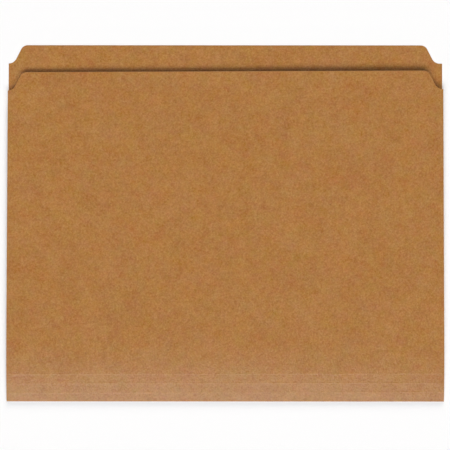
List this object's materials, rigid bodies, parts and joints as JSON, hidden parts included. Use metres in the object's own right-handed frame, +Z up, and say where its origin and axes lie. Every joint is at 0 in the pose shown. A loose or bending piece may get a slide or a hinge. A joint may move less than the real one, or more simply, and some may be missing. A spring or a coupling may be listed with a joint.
{
  "type": "file folder",
  "caption": "Straight-cut kraft board file folder: a scored, folded sheet whose cover swings open about the bottom fold and whose score lines let the spine widen around papers.",
  "frame": {"origin": "middle of the footprint, on the surface that the back leaf lies on", "axes": "+X along the fold, +Y from the fold to the tab, +Z up through the closed leaves"},
  "size_m": [0.2954, 0.2418, 0.0062],
  "materials": {
    "kraft_board": "calendered natural kraft board, fine fibres and cloudy mottling, low sheen"
  },
  "bodies": {
    "back_leaf": {"back_panel": "kraft_board", "back_tab": "kraft_board"},
    "bottom_fold": {"bottom_fold": "kraft_board"},
    "strip_1": {"expansion_strip_1": "kraft_board", "score_bead_1": "kraft_board"},
    "strip_2": {"expansion_strip_2": "kraft_board", "score_bead_2": "kraft_board"},
    "strip_3": {"expansion_strip_3": "kraft_board", "score_bead_3": "kraft_board"},
    "front_leaf": {"front_panel": "kraft_board", "front_tab": "kraft_board"}
  },
  "joints": [
    {"name": "cover_open", "type": "hinge", "parent": "back_leaf", "child": "bottom_fold", "pos_m": [0, -0.12018, 0.00076], "axis": [1, 0, 0], "range_deg": [0, 172], "deforming": ["bottom_fold"]},
    {"name": "spine_flatten", "type": "hinge", "parent": "bottom_fold", "child": "strip_1", "pos_m": [0, -0.12028, 0.00137], "axis": [-1, 0, 0], "range_deg": [-90, 0], "deforming": ["bottom_fold"]},
    {"name": "score_1_fold", "type": "hinge", "parent": "strip_1", "child": "strip_2", "pos_m": [0, -0.11487, 0.00218], "axis": [-1, 0, 0], "range_deg": [0, 30]},
    {"name": "score_2_fold", "type": "hinge", "parent": "strip_2", "child": "strip_3", "pos_m": [0, -0.10856, 0.00296], "axis": [-1, 0, 0], "range_deg": [0, 30]},
    {"name": "score_3_fold", "type": "hinge", "parent": "strip_3", "child": "front_leaf", "pos_m": [0, -0.10224, 0.00356], "axis": [-1, 0, 0], "range_deg": [0, 30]}
  ],
  "couplings": [
    {"joint": "score_1_fold", "follows": "spine_flatten", "ratio": -0.33333},
    {"joint": "score_2_fold", "follows": "spine_flatten", "ratio": -0.33333},
    {"joint": "score_3_fold", "follows": "spine_flatten", "ratio": -0.33333}
  ]
}
